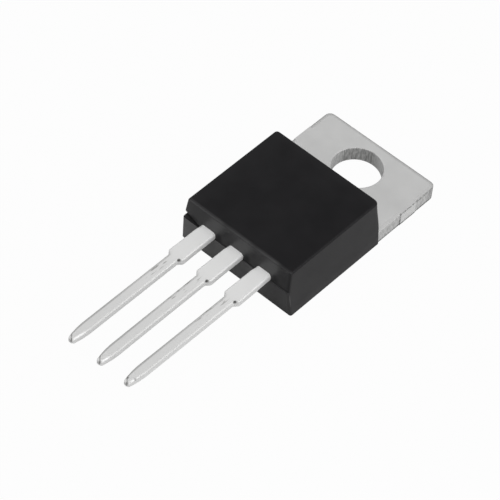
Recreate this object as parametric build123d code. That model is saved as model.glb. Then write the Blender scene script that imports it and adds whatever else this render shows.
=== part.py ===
from build123d import *
from math import radians, tan
import os

# Three-lead, flat-tab rectifier diode: two diode chips on one heat sink (common cathode).
# Frame: millimetres. The origin is the centre of the mounting hole on the metal mounting face
# (z = 0); +Z is the hole axis and points up through the epoxy side, the leads run towards -Y.

# ---- leads ---------------------------------------------------------------------------------
LEAD_PITCH = 2.54               # centre to centre
LEAD_THICKNESS = 0.50
LEAD_UNDERSIDE = 2.43           # mounting face to the underside of the leads
LEAD_LENGTH = 13.18             # front of the body to the tip
LEAD_WIDE = 1.30                # wide part next to the body
LEAD_NARROW = 0.80              # the part that is soldered
LEAD_WIDE_REACH = 3.05          # front of the body to the outer corner of the shoulder
SHOULDER_RUN = 0.35             # length of the sloping shoulder
TIP_RUN = 1.25                  # length of the taper at the tip
TIP_WIDTH = 0.40                # width at the end of the taper
TIP_ROUND = 0.12
LEAD_EDGE_ROUND = 0.12          # rounded upper edges, from stamping

# ---- moulded body --------------------------------------------------------------------------
BODY_HEIGHT = 4.20
BODY_WIDTH = 10.06              # at the mounting face
BODY_LENGTH = 9.43              # ledge to back face
SIDE_DRAFT = 4.65               # degrees, both sides, over the whole height
BACK_DRAFT = 2.9                # degrees, above the tab
LOWER_FRONT_DRAFT = 7.0         # degrees, below the leads
UPPER_FRONT_DRAFT = 4.65        # degrees, above the leads
LEDGE_DEPTH = 0.06              # step between the two mould halves at the leads' underside
BODY_CORNER_ROUND = 0.20        # upright corners
BODY_TOP_ROUND = 0.18           # edges round the top
GATE_RISE = 0.66                # mould gate scar, upper half, front left corner: height at the side
GATE_DEPTH = 0.44               # how far it runs back along the side, from the front face
GATE_WIDTH = 2.05               # how far it runs across the front

# ---- heat sink: tab outside, chip pad inside ------------------------------------------------
TAB_WIDTH = 9.88
TAB_THICKNESS = 1.20
TAB_REACH = 2.74                # hole centre to the free end
TAB_CORNER_ROUND = 0.55
TAB_EDGE_ROUND = 0.08           # rolled upper edge of the blanking cut
HOLE_DIAMETER = 3.72
HOLE_TO_BODY = 3.38             # hole centre to the back face of the body
STUB_LENGTH = 1.65              # sheared tie-bar stub on each side of the tab
STUB_PROUD = 0.03
STUB_OFFSET = 0.28              # stub centre towards the body, from the hole centre
PAD_WIDTH = 8.20                # inside the epoxy, seen from below
PAD_SETBACK = 3.36              # front of the body to the front edge of the pad
LOCK_STEP = 0.25                # overhanging ledge round the pad that locks the epoxy
LOCK_HEIGHT = 0.60              # underside of that ledge above the mounting face
GROOVE_WIDTH = 0.40             # V groove across the pad, just inside the body
GROOVE_DEPTH = 0.18
GROOVE_INSET = 0.70             # back face of the body to the groove's centre line

# ---- centre lead's step down to the pad ----------------------------------------------------
STEP_START = 1.50               # front of the body to the first bend, inside the epoxy
STEP_RUN = 1.35                 # length of the sloping part
BEND_INNER = 0.20
BEND_OUTER = 0.55

# ---- bond pads of the outer leads ----------------------------------------------------------
BOND_PAD_WIDTH = 2.30
BOND_PAD_START = 0.95           # front of the body to the pad
BOND_PAD_LENGTH = 1.45
BOND_PAD_SHIFT = 0.30           # pad centre outwards from the lead's centre line
BOND_PAD_ROUND = 0.20

# ---- chips, solder and bond wires ----------------------------------------------------------
CHIP_SIZE = 2.70
CHIP_THICKNESS = 0.28
CHIP_SPREAD = 1.95              # chip centre from the middle of the part
SOLDER_MARGIN = 0.15            # solder wider than the chip, each side
SOLDER_THICKNESS = 0.06
WIRE_DIAMETER = 0.38
WIRE_FOOT = 0.70                # length of the flat bonded foot
WIRE_SINK = 0.06                # how much the foot is squashed flat
WIRE_CREST = 0.55               # top of the body down to the peak of the wire's bend
WIRE_CREST_AT = 0.55            # where along the span that peak stands, from the chip
WIRE_BEND = 0.45                # radius of the wire's bends, on its axis

# ---- derived positions ---------------------------------------------------------------------
BACK_Y = -HOLE_TO_BODY
FRONT_Y = BACK_Y - BODY_LENGTH
PAD_FRONT_Y = FRONT_Y + PAD_SETBACK
LEAD_TOP = LEAD_UNDERSIDE + LEAD_THICKNESS
CHIP_Y = (PAD_FRONT_Y + BACK_Y) / 2
CHIP_BASE = TAB_THICKNESS + SOLDER_THICKNESS
CHIP_TOP = CHIP_BASE + CHIP_THICKNESS
BOND_PAD_Y = FRONT_Y + BOND_PAD_START + BOND_PAD_LENGTH / 2
OVERSIZE = 2.0                  # extra length on cutting tools so that they pass right through


def rise(height, draft):
    """Sideways travel of a wall with this draft (degrees) over this height."""
    return height * tan(radians(draft))


def half_width(z):
    """Half the body's width at height z."""
    return BODY_WIDTH / 2 - rise(z, SIDE_DRAFT)


def upright(edge):
    """True for an edge that runs mostly along Z."""
    return abs((edge % 0.5).Z) > 0.9


def block(x0, x1, y0, y1, z0, z1):
    """Plain box between two corners."""
    return Pos((x0 + x1) / 2, (y0 + y1) / 2, (z0 + z1) / 2) * Box(x1 - x0, y1 - y0, z1 - z0)


def body_half(profile):
    """One mould half: side profile (Y, Z) intersected with the drafted end profile."""
    end = Polyline(
        (-half_width(0), 0), (half_width(0), 0),
        (half_width(BODY_HEIGHT), BODY_HEIGHT), (-half_width(BODY_HEIGHT), BODY_HEIGHT),
        close=True)
    long_way = extrude(Plane.YZ * make_face(Polyline(*profile, close=True)), BODY_WIDTH, both=True)
    across = extrude(Plane.XZ * make_face(end), LEAD_LENGTH + BODY_LENGTH, both=True)
    half = long_way & across
    return fillet([e for e in half.edges() if upright(e)], BODY_CORNER_ROUND)


def body_outer():
    """Outside of the epoxy: two drafted mould halves that meet at the ledge."""
    upper_front = FRONT_Y + LEDGE_DEPTH
    front_top = upper_front + rise(BODY_HEIGHT - LEAD_UNDERSIDE, UPPER_FRONT_DRAFT)
    front_foot = FRONT_Y + rise(LEAD_UNDERSIDE, LOWER_FRONT_DRAFT)
    back_join = BACK_Y - rise(LEAD_UNDERSIDE - TAB_THICKNESS, BACK_DRAFT)
    back_top = BACK_Y - rise(BODY_HEIGHT - TAB_THICKNESS, BACK_DRAFT)
    lower = body_half([(front_foot, 0), (FRONT_Y, LEAD_UNDERSIDE), (back_join, LEAD_UNDERSIDE),
                       (BACK_Y, TAB_THICKNESS), (BACK_Y, 0)])
    upper = body_half([(upper_front, LEAD_UNDERSIDE), (front_top, BODY_HEIGHT),
                       (back_top, BODY_HEIGHT), (back_join, LEAD_UNDERSIDE)])
    upper = fillet(upper.faces().sort_by(Axis.Z)[-1].edges(), BODY_TOP_ROUND)
    return lower + upper


def gate_scar():
    """Wedge broken out where the mould gate met the upper half, at the front left corner."""
    corner_x = -half_width(LEAD_UNDERSIDE)
    front = FRONT_Y + LEDGE_DEPTH
    side_point = Vector(-half_width(LEAD_UNDERSIDE + GATE_RISE), front, LEAD_UNDERSIDE + GATE_RISE)
    back_point = Vector(corner_x, front + GATE_DEPTH, LEAD_UNDERSIDE)
    inner_point = Vector(corner_x + GATE_WIDTH, front, LEAD_UNDERSIDE)
    normal = (inner_point - back_point).cross(side_point - back_point).normalized()
    chunk = block(corner_x - OVERSIZE, inner_point.X, front - LEDGE_DEPTH, back_point.Y,
                  LEAD_UNDERSIDE, LEAD_UNDERSIDE + 2 * GATE_RISE)
    wall = Plane(origin=back_point, z_dir=normal)
    inside = wall.to_local_coords(Vector(corner_x, front, LEAD_UNDERSIDE)).Z
    return split(chunk, bisect_by=wall, keep=Keep.TOP if inside > 0 else Keep.BOTTOM)


def lead_blade(root_y):
    """Flat stamped blade of one lead, from inside the body at root_y out to the tip."""
    tip = FRONT_Y - LEAD_LENGTH
    shoulder = FRONT_Y - LEAD_WIDE_REACH
    wide, narrow, end = LEAD_WIDE / 2, LEAD_NARROW / 2, TIP_WIDTH / 2
    half = [(wide, root_y), (wide, shoulder), (narrow, shoulder - SHOULDER_RUN),
            (narrow, tip + TIP_RUN), (end, tip)]
    outline = make_face(Polyline(*half, *[(-x, y) for x, y in reversed(half)], close=True))
    blade = Pos(0, 0, LEAD_UNDERSIDE) * extrude(outline, LEAD_THICKNESS)
    blade = fillet([e for e in blade.edges() if upright(e) and e.center().Y < tip + TIP_ROUND],
                   TIP_ROUND)
    rim = blade.faces().sort_by(Axis.Z)[-1].edges()
    return fillet([e for e in rim if e.center().Y < root_y - LEAD_EDGE_ROUND], LEAD_EDGE_ROUND)


def outer_lead(side):
    """Anode lead with its bond pad inside the body; side is -1 for left, +1 for right."""
    blade = lead_blade(FRONT_Y + BOND_PAD_START + BOND_PAD_ROUND)
    centre = side * (LEAD_PITCH + BOND_PAD_SHIFT)
    pad = extrude(RectangleRounded(BOND_PAD_WIDTH, BOND_PAD_LENGTH, BOND_PAD_ROUND), LEAD_THICKNESS)
    return Pos(side * LEAD_PITCH, 0, 0) * blade + Pos(centre, BOND_PAD_Y, LEAD_UNDERSIDE) * pad


def step_down():
    """Bent strip that carries the centre lead down to the top of the chip pad."""
    y0 = FRONT_Y + STEP_START
    y1 = y0 + STEP_RUN
    low = TAB_THICKNESS - LEAD_THICKNESS
    inside = PAD_FRONT_Y + LOCK_STEP
    shift = LEAD_THICKNESS / 2
    flat = y0 - BEND_OUTER
    side = Polyline(
        (flat, LEAD_UNDERSIDE), (y0, LEAD_UNDERSIDE), (y1, low), (inside, low),
        (inside, TAB_THICKNESS), (y1 + shift, TAB_THICKNESS), (y0 + shift, LEAD_TOP),
        (flat, LEAD_TOP), close=True)
    face = make_face(side)
    bends = {BEND_INNER: [(y0, LEAD_UNDERSIDE), (y1 + shift, TAB_THICKNESS)],
             BEND_OUTER: [(y1, low), (y0 + shift, LEAD_TOP)]}
    for radius, corners in bends.items():
        for y, z in corners:
            near = face.vertices().sort_by_distance(Vector(y, z, 0))[0]
            face = fillet(near, radius)
    return extrude(Plane.YZ * face, LEAD_WIDE / 2, both=True)


def heat_sink():
    """Tab, chip pad and centre lead: one stamping of two thicknesses."""
    tab = block(-TAB_WIDTH / 2, TAB_WIDTH / 2, BACK_Y, TAB_REACH, 0, TAB_THICKNESS)
    tab = fillet([e for e in tab.edges() if upright(e) and e.center().Y > 0], TAB_CORNER_ROUND)
    rim = tab.faces().sort_by(Axis.Z)[-1].edges()
    tab = fillet([e for e in rim if e.center().Y > BACK_Y + TAB_EDGE_ROUND], TAB_EDGE_ROUND)
    stub_y = -STUB_OFFSET
    tab += block(-TAB_WIDTH / 2 - STUB_PROUD, TAB_WIDTH / 2 + STUB_PROUD,
                 stub_y - STUB_LENGTH / 2, stub_y + STUB_LENGTH / 2, 0, TAB_THICKNESS)
    pad = block(-PAD_WIDTH / 2, PAD_WIDTH / 2, PAD_FRONT_Y, BACK_Y, 0, LOCK_HEIGHT)
    pad += block(-PAD_WIDTH / 2 - LOCK_STEP, PAD_WIDTH / 2 + LOCK_STEP,
                 PAD_FRONT_Y - LOCK_STEP, BACK_Y, LOCK_HEIGHT, TAB_THICKNESS)
    groove = Polyline((-GROOVE_WIDTH / 2, 0), (GROOVE_WIDTH / 2, 0), (0, -GROOVE_DEPTH), close=True)
    groove = Plane.YZ * extrude(make_face(groove), TAB_WIDTH, both=True)
    hole = Cylinder(HOLE_DIAMETER / 2, TAB_THICKNESS + OVERSIZE)
    plate = tab + pad - Pos(0, BACK_Y - GROOVE_INSET, TAB_THICKNESS) * groove - hole
    return plate + step_down() + lead_blade(FRONT_Y + STEP_START)


def chip(side):
    """Silicon chip."""
    return block(side * CHIP_SPREAD - CHIP_SIZE / 2, side * CHIP_SPREAD + CHIP_SIZE / 2,
                 CHIP_Y - CHIP_SIZE / 2, CHIP_Y + CHIP_SIZE / 2, CHIP_BASE, CHIP_TOP)


def chip_solder(side):
    """Solder layer under a chip."""
    reach = CHIP_SIZE / 2 + SOLDER_MARGIN
    return block(side * CHIP_SPREAD - reach, side * CHIP_SPREAD + reach,
                 CHIP_Y - reach, CHIP_Y + reach, TAB_THICKNESS, CHIP_BASE)


def bond_wire(side):
    """Aluminium wire from the chip to the bond pad, with a flattened foot at each end."""
    lift = WIRE_DIAMETER / 2 - WIRE_SINK
    start = Vector(side * CHIP_SPREAD, CHIP_Y + WIRE_FOOT / 2, 0)
    finish = Vector(side * (LEAD_PITCH + BOND_PAD_SHIFT), BOND_PAD_Y - WIRE_FOOT / 2, 0)
    along = (finish - start).normalized()
    span = (finish - start).length
    crest = BODY_HEIGHT - WIRE_CREST - WIRE_DIAMETER / 2
    upright_plane = Plane(origin=start, x_dir=along, z_dir=along.cross(Vector(0, 0, 1)))
    low, high = CHIP_TOP + lift, LEAD_TOP + lift
    path = FilletPolyline(
        (0, low), (WIRE_FOOT, low), (WIRE_CREST_AT * span, crest),
        (span - WIRE_FOOT, high), (span, high), radius=WIRE_BEND)
    section = Plane(origin=start + Vector(0, 0, low), z_dir=along) * Circle(WIRE_DIAMETER / 2)
    wire = sweep(section, path=upright_plane * path)
    return wire - chip(side) - outer_lead(side)


def moulded_body(inserts):
    """Epoxy body with cavities that fit its inserts exactly."""
    body = body_outer() - gate_scar()
    for piece in inserts:
        body -= piece
    return body


def build():
    """All pieces by node name."""
    pieces = {"heat_sink": heat_sink()}
    for name, side in (("left", -1), ("right", 1)):
        pieces[f"{name}_anode_lead"] = outer_lead(side)
        pieces[f"{name}_chip"] = chip(side)
        pieces[f"{name}_chip_solder"] = chip_solder(side)
        pieces[f"{name}_bond_wire"] = bond_wire(side)
    pieces["moulded_body"] = moulded_body(list(pieces.values()))
    return pieces


os.makedirs("parts", exist_ok=True)
for node, shape in build().items():
    export_step(shape, f"parts/{node}.step")
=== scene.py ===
"""Looks of a three-lead, flat-tab rectifier diode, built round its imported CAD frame.

Lengths are in metres in the frame of the part: the origin is the centre of the mounting hole on the metal
mounting face, +Z points up through the epoxy side, and the leads run towards -Y.
"""

import logging
from dataclasses import dataclass, field
from enum import Enum
from math import radians
from typing import Sequence

import bpy
import numpy as np
from mathutils import Matrix, Vector


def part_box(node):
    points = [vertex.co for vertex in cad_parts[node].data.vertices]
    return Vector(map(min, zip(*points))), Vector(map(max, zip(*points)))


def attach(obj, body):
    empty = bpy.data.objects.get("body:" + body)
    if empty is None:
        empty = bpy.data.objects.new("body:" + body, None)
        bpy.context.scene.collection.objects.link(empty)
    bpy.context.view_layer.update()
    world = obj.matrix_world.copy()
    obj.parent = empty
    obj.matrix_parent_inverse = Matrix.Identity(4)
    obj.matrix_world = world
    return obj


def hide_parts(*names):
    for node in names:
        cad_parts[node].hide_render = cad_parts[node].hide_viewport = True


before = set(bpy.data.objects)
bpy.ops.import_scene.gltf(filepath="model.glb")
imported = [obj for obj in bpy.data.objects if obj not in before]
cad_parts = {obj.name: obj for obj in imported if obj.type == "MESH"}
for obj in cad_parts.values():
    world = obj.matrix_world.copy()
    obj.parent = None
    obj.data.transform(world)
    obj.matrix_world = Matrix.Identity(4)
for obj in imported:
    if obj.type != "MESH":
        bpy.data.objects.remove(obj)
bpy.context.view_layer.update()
BODY = "root"
MM = 1e-3
LOW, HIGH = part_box("moulded_body")
LOG = logging.getLogger("rectifier_diode")

Array = np.ndarray
Piece = bpy.types.Object
Material = bpy.types.Material
Socket = bpy.types.NodeSocket
Pair = tuple[float, float]
Triple = tuple[float, float, float]
Colour = Triple


# ---- curves and surfaces ----

def bend(start: Array, corner: Array, end: Array, count: int) -> Array:
    """Rounds a corner with the parabola B(t) = (1-t)^2 start + 2t(1-t) corner + t^2 end.

    Args:
        start: Points where the bend leaves the first edge, shape (..., 2).
        corner: Sharp corner points, same shape.
        end: Points where the bend meets the second edge, same shape.
        count: Number of points along each bend, ends included.

    Returns:
        The bends, shape (..., count, 2).
    """
    t = np.linspace(0.0, 1.0, count)[:, None]
    a, b, c = (np.asarray(p, float)[..., None, :] for p in (start, corner, end))
    return (1 - t) ** 2 * a + 2 * t * (1 - t) * b + t ** 2 * c


def run(start: Array, end: Array, count: int, support: float) -> Array:
    """Points inside a straight edge: P(s) = (1-s) start + s end, with one support point near each end.

    Args:
        start: First ends, shape (..., 2).
        end: Last ends, same shape.
        count: Number of points.
        support: Share of the edge between its end and the support point, at most 0.4 of a step.

    Returns:
        The points between the two ends, without them, shape (..., count, 2).
    """
    support = min(support, 0.4 / (count - 1))
    s = np.r_[support, np.linspace(0.0, 1.0, count)[1:-1], 1.0 - support][:, None]
    a, b = (np.asarray(p, float)[..., None, :] for p in (start, end))
    return (1 - s) * a + s * b


def smooth_step(x: Array, low: float, high: float) -> Array:
    """Smooth ramp 3t^2 - 2t^3 with t = (x - low) / (high - low), kept between 0 and 1."""
    t = np.clip((x - low) / (high - low), 0.0, 1.0)
    return t * t * (3.0 - 2.0 * t)


def band(x: Array, centre: float, width: float) -> Array:
    """Gaussian band exp(-((x - centre) / width)^2)."""
    return np.exp(-((x - centre) / width) ** 2)


def at(first: Array, second: Array) -> Array:
    """Stacks two coordinates into points."""
    return np.stack([first, second], -1)


def rounded_outline(corners: Sequence[tuple], support: float) -> Array:
    """Closed outlines: a bend at each corner, then a straight run to the next corner's bend.

    Args:
        corners: For each corner, the start, sharp point and end of its bend, and the number of points on
            the bend and on the run that follows.
        support: Share of each run between its end and the support point.

    Returns:
        The outlines, shape (outlines, around, 2).
    """
    parts = []
    for corner, following in zip(corners, [*corners[1:], corners[0]]):
        start, sharp, end, bend_count, run_count = corner
        parts += [bend(start, sharp, end, bend_count), run(end, following[0], run_count, support)]
    return np.concatenate(parts, 1)


@dataclass(frozen=True)
class Fade:
    """Smooth ramp from 0 at start to amount at end, counted in the unit. Start may be the larger one."""

    start: float
    end: float
    amount: float = 1.0
    unit: float = MM

    def __call__(self, x: Array) -> Array:
        """Value of the ramp at x."""
        return self.amount * smooth_step(x, self.start * self.unit, self.end * self.unit)


Fades = tuple[Fade, Fade]


@dataclass(frozen=True)
class Spot:
    """Soft ellipsoid mark, in millimetres: amount round its centre, falling to 0 at its surface."""

    centre: Triple
    radii: Triple
    amount: float = 1.0

    def __call__(self, points: Array, origin: Sequence[float]) -> Array:
        """Value of the mark at the points, with its centre measured from the origin."""
        away = (points - np.asarray(origin)) / MM - np.asarray(self.centre)
        return self.amount * smooth_step(np.linalg.norm(away / np.asarray(self.radii), axis=-1), 1.0, 0.35)


@dataclass
class RingSurface:
    """Closed surface made of rings of equal length, stitched to each other with quads.

    Point (i, j) is the j-th point of the i-th ring. Rings always close. The stack of rings either closes
    on itself, as on a plate with a hole, or ends in a pole at each end.
    """

    points: Array
    loops_back: bool = False
    masks: dict[str, Array] = field(default_factory=dict)
    crisp_angle: float = radians(38.0)

    def _faces(self) -> list[list[int]]:
        """Quads between neighbouring rings, and triangle fans to the two poles.

        Returns:
            The vertex numbers of each face.
        """
        rings, around = self.points.shape[:2]
        grid = np.arange(rings * around).reshape(rings, around)
        lower = grid if self.loops_back else grid[:-1]
        upper = np.roll(grid, -1, 0) if self.loops_back else grid[1:]
        quads = np.stack([lower, np.roll(lower, -1, 1), np.roll(upper, -1, 1), upper], -1).reshape(-1, 4)
        faces = quads.tolist()
        if not self.loops_back:
            first, last = grid[0], grid[-1]
            faces += np.stack([np.full(around, rings * around), np.roll(first, -1), first], -1).tolist()
            faces += np.stack([np.full(around, rings * around + 1), last, np.roll(last, -1)], -1).tolist()
        return faces

    def _with_poles(self, values: Array) -> Array:
        """Flattens per-point values and adds the means of the end rings for the poles.

        Args:
            values: One value or vector for each point, ring by ring.

        Returns:
            The values in the order of the vertices.
        """
        flat = values.reshape((-1,) + values.shape[2:])
        if self.loops_back:
            return flat
        return np.concatenate([flat, values[0].mean(0)[None], values[-1].mean(0)[None]])

    def build(self, name: str) -> Piece:
        """Makes the mesh object, with its faces outwards and its masks as point attributes.

        Args:
            name: Name of the object.

        Returns:
            The new object, linked to the scene, at the origin.
        """
        vertices = self._with_poles(self.points)
        faces = self._faces()
        mesh = bpy.data.meshes.new(name)
        mesh.from_pydata(vertices.tolist(), [], faces)
        mesh.validate()
        mesh.calc_loop_triangles()
        corners = np.empty(len(mesh.loop_triangles) * 3, np.int32)
        mesh.loop_triangles.foreach_get("vertices", corners)
        a, b, c = vertices[corners.reshape(-1, 3)].transpose(1, 0, 2)
        if np.einsum("ij,ij->", a, np.cross(b, c)) < 0:
            mesh.flip_normals()
        for key, values in self.masks.items():
            layer = mesh.attributes.new(key, "FLOAT", "POINT")
            layer.data.foreach_set("value", self._with_poles(values).astype(np.float32))
        mesh.shade_smooth()
        mesh.set_sharp_from_angle(angle=self.crisp_angle)
        mesh.update()
        piece = bpy.data.objects.new(name, mesh)
        bpy.context.scene.collection.objects.link(piece)
        return piece


# ---- finishes ----

class NodeGraph:
    """Nodes of one material, or of the surroundings."""

    def __init__(self, owner: Material | bpy.types.World, coordinates: str = "Object") -> None:
        """Starts with no nodes but the coordinates.

        Args:
            owner: What the nodes belong to.
            coordinates: Kind of texture coordinates.
        """
        self.owner = owner
        self.owner.use_nodes = True
        self.nodes = self.owner.node_tree.nodes
        self.links = self.owner.node_tree.links
        self.nodes.clear()
        self.place = self.nodes.new("ShaderNodeTexCoord").outputs[coordinates]

    def add(self, kind: str, inputs: dict, **settings: str) -> bpy.types.Node:
        """Adds one shader node.

        Args:
            kind: Kind of node.
            inputs: A value or another node's socket for each input. None leaves the input as it is, and
                a colour gets its alpha here.
            settings: Properties of the node.

        Returns:
            The node.
        """
        node = self.nodes.new(f"ShaderNode{kind}")
        for key, value in settings.items():
            setattr(node, key, value)
        for key, value in inputs.items():
            socket = node.inputs[key]
            if isinstance(value, Socket):
                self.links.new(value, socket)
            elif value is not None:
                socket.default_value = (*value, 1.0) if socket.type == "RGBA" else value
        return node

    def noise(self, size: float, detail: float = 2.0, stretch: Triple = (1, 1, 1)) -> Socket:
        """Noise between 0 and 1 on object coordinates.

        Args:
            size: Size of one blotch, in metres.
            detail: Octaves of finer noise.
            stretch: How many times longer than size the blotches are along X, Y and Z.

        Returns:
            The noise value.
        """
        scale = tuple(1.0 / (size * s) for s in stretch)
        mapping = self.add("Mapping", {"Vector": self.place, "Scale": scale})
        inputs = {"Vector": mapping.outputs["Vector"], "Scale": 1.0, "Detail": detail}
        return self.add("TexNoise", inputs).outputs["Fac"]

    def span(self, value: object, low: float, high: float, to_low: float = 0.0,
             to_high: float = 1.0) -> Socket:
        """Maps a value from the range low..high to to_low..to_high, clamped."""
        return self.add("MapRange", {"Value": value, "From Min": low, "From Max": high,
                                     "To Min": to_low, "To Max": to_high}).outputs["Result"]

    def mask(self, name: str) -> Socket:
        """Value of a point attribute of the mesh."""
        return self.add("Attribute", {}, attribute_name=name).outputs["Fac"]

    def math(self, kind: str, a: object, b: object) -> Socket:
        """One arithmetic step, such as ADD or MULTIPLY."""
        return self.add("Math", {0: a, 1: b}, operation=kind).outputs[0]

    def blend(self, factor: object, first: object, second: object) -> Socket:
        """Colour that goes from first to second as factor goes from 0 to 1."""
        return self.add("Mix", {0: factor, 6: first, 7: second}, data_type="RGBA").outputs[2]

    def relief(self, height: object, depth: float, under: object = None) -> Socket:
        """Bump from a height between 0 and 1, depth metres deep, on top of a coarser relief's normal."""
        return self.add("Bump", {"Height": height, "Distance": depth, "Normal": under}).outputs["Normal"]

    def finish(self, colour: object, roughness: object, normal: object, metallic: float,
               specular: object) -> Material:
        """Ends the material with a Principled shader.

        Args:
            colour: Base colour.
            roughness: Roughness.
            normal: Bumped normal.
            metallic: 1 for metal and 0 for plastic.
            specular: Specular level.

        Returns:
            The finished material.
        """
        shader = self.add("BsdfPrincipled", {
            "Base Color": colour, "Roughness": roughness, "Normal": normal, "Metallic": metallic,
            "Specular IOR Level": specular})
        self.add("OutputMaterial", {"Surface": shader.outputs["BSDF"]})
        return self.owner


@dataclass(frozen=True)
class EpoxyFinish:
    """Black moulding compound: black lid, grey walls, faint flow clouds and a rough broken gate.

    The walls' grey also carries painted sheen, a painted highlight, painted reflections and painted light.
    """

    dark: Colour = (0.0076, 0.0073, 0.0083)
    pale: Colour = (0.0104, 0.0100, 0.0112)
    # Grey of the walls, and also the tone of the painted sheen, highlight and lead reflections in the
    # 'wall' mask.
    wall: Colour = (0.180, 0.178, 0.178)
    broken: Colour = (0.030, 0.030, 0.030)
    roughness: Pair = (0.30, 0.36)
    specular: Pair = (0.20, 0.66)
    skin_size: float = 0.07 * MM
    skin_depth: float = 0.0022 * MM
    cloud_size: float = 1.6 * MM

    def material(self) -> Material:
        """Builds the nodes.

        Returns:
            The material.
        """
        graph = NodeGraph(bpy.data.materials.new("black_epoxy"))
        clouds = graph.noise(self.cloud_size, 3.0)
        broken = graph.mask("broken")
        # The 'wall' mask brings in the walls' grey together with painted light, sheen, highlight and
        # reflections.
        wall = graph.math("MULTIPLY", graph.mask("wall"), graph.span(clouds, 0.3, 0.7, 0.8, 1.0))
        colour = graph.blend(graph.span(clouds, 0.3, 0.7), self.dark, self.pale)
        colour = graph.blend(wall, colour, self.wall)
        colour = graph.blend(broken, colour, self.broken)
        roughness = graph.span(clouds, 0.3, 0.7, *self.roughness)
        roughness = graph.math("ADD", roughness, graph.math("MULTIPLY", broken, 0.2))
        skin = graph.relief(graph.noise(self.skin_size, 2.0), self.skin_depth)
        rubble = graph.math("MULTIPLY", graph.noise(0.12 * MM, 3.0), broken)
        normal = graph.relief(rubble, 0.02 * MM, skin)
        # Gloss from the 'polish' mask, lowered in places as painted shade.
        specular = graph.span(graph.mask("polish"), 0.0, 1.0, *self.specular)
        return graph.finish(colour, roughness, normal, 0.0, specular)


@dataclass(frozen=True)
class PlatedTabFinish:
    """Satin plated copper sheet, with striped, darker cut edges and a darker bore.

    The bore's darkness is painted shade, as is the shade on the roll-over at the edges and round the stub;
    painted light lightens the face by the body and the bore's right end.
    """

    face: Colour = (0.715, 0.715, 0.710)
    cloud: Colour = (0.690, 0.690, 0.685)
    # Painted light by the body and in the bore, and the lighter tone of the stub and underside.
    lighter_and_painted_light: Colour = (0.850, 0.850, 0.845)
    # Painted shade on the roll-over at the edges.
    rolled: Colour = (0.50, 0.50, 0.495)
    cut: tuple[Colour, Colour] = ((0.48, 0.48, 0.475), (0.77, 0.77, 0.765))
    # Painted shade: the bore's wall is darker than the cut sides, darkest across the bore_axis.
    bore: tuple[Colour, Colour] = ((0.26, 0.26, 0.255), (0.56, 0.56, 0.555))
    # Dark lines: painted shade along the cut side's top edge and the stub's near edge, a dark far right
    # corner and a dark line at the foot.
    crevice: Colour = (0.05, 0.05, 0.05)
    roughness: Pair = (0.38, 0.46)
    metallic: float = 0.3
    specular: float = 0.5

    def material(self) -> Material:
        """Builds the nodes.

        Returns:
            The material.
        """
        graph = NodeGraph(bpy.data.materials.new("plated_tab"))
        cut, bore = graph.mask("cut"), graph.mask("bore")
        clouds = graph.noise(1.1 * MM, 3.0)
        grain = graph.noise(0.05 * MM, 2.0, (1, 14, 1))
        stripes = graph.noise(0.09 * MM, 2.0, (1, 1, 5))
        crumbs = graph.span(graph.noise(0.10 * MM, 3.0), 0.38, 0.50)
        # Dark lines at the edges, partly painted shade.
        crevice = graph.math("MULTIPLY", graph.mask("crevice"), crumbs)
        shade = graph.span(stripes, 0.35, 0.65)
        colour = graph.blend(graph.span(clouds, 0.35, 0.65), self.cloud, self.face)
        colour = graph.blend(graph.mask("lighter_and_painted_light"), colour, self.lighter_and_painted_light)
        colour = graph.blend(graph.mask("rolled"), colour, self.rolled)
        colour = graph.blend(cut, colour, graph.blend(shade, *self.cut))
        colour = graph.blend(bore, colour, graph.blend(shade, *self.bore))
        colour = graph.blend(crevice, colour, self.crevice)
        cut = graph.math("MAXIMUM", cut, bore)
        roughness = graph.span(clouds, 0.3, 0.7, *self.roughness)
        roughness = graph.math("ADD", roughness, graph.math("MULTIPLY", cut, 0.12))
        normal = graph.relief(grain, 0.0012 * MM)
        normal = graph.relief(graph.math("MULTIPLY", stripes, cut), 0.012 * MM, normal)
        return graph.finish(colour, roughness, normal, self.metallic, self.specular)


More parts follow.
